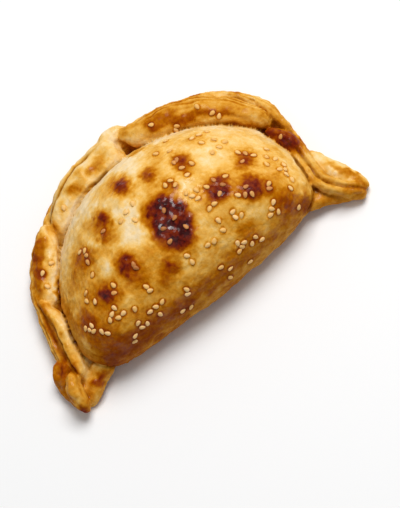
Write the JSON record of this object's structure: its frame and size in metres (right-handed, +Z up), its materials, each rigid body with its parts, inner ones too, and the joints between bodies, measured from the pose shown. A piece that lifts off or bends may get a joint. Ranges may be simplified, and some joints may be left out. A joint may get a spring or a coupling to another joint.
{
  "type": "empanada",
  "caption": "Baked half-moon empanada with a domed filled body, a folded and pleated sealed border, pinched ears at both ends and sesame seeds on top.",
  "frame": {"origin": "middle of the underside's bounding box, on the surface it rests on", "axes": "+X from ear to ear, to the right as seen from the fold; +Y from the fold towards the pleated border; +Z up"},
  "size_m": [0.1628, 0.099, 0.0427],
  "materials": {
    "crust": "egg-washed, browned in patches",
    "sesame": "dry, toasted"
  },
  "bodies": {
    "root": {"empanada": "crust"}
  },
  "joints": []
}
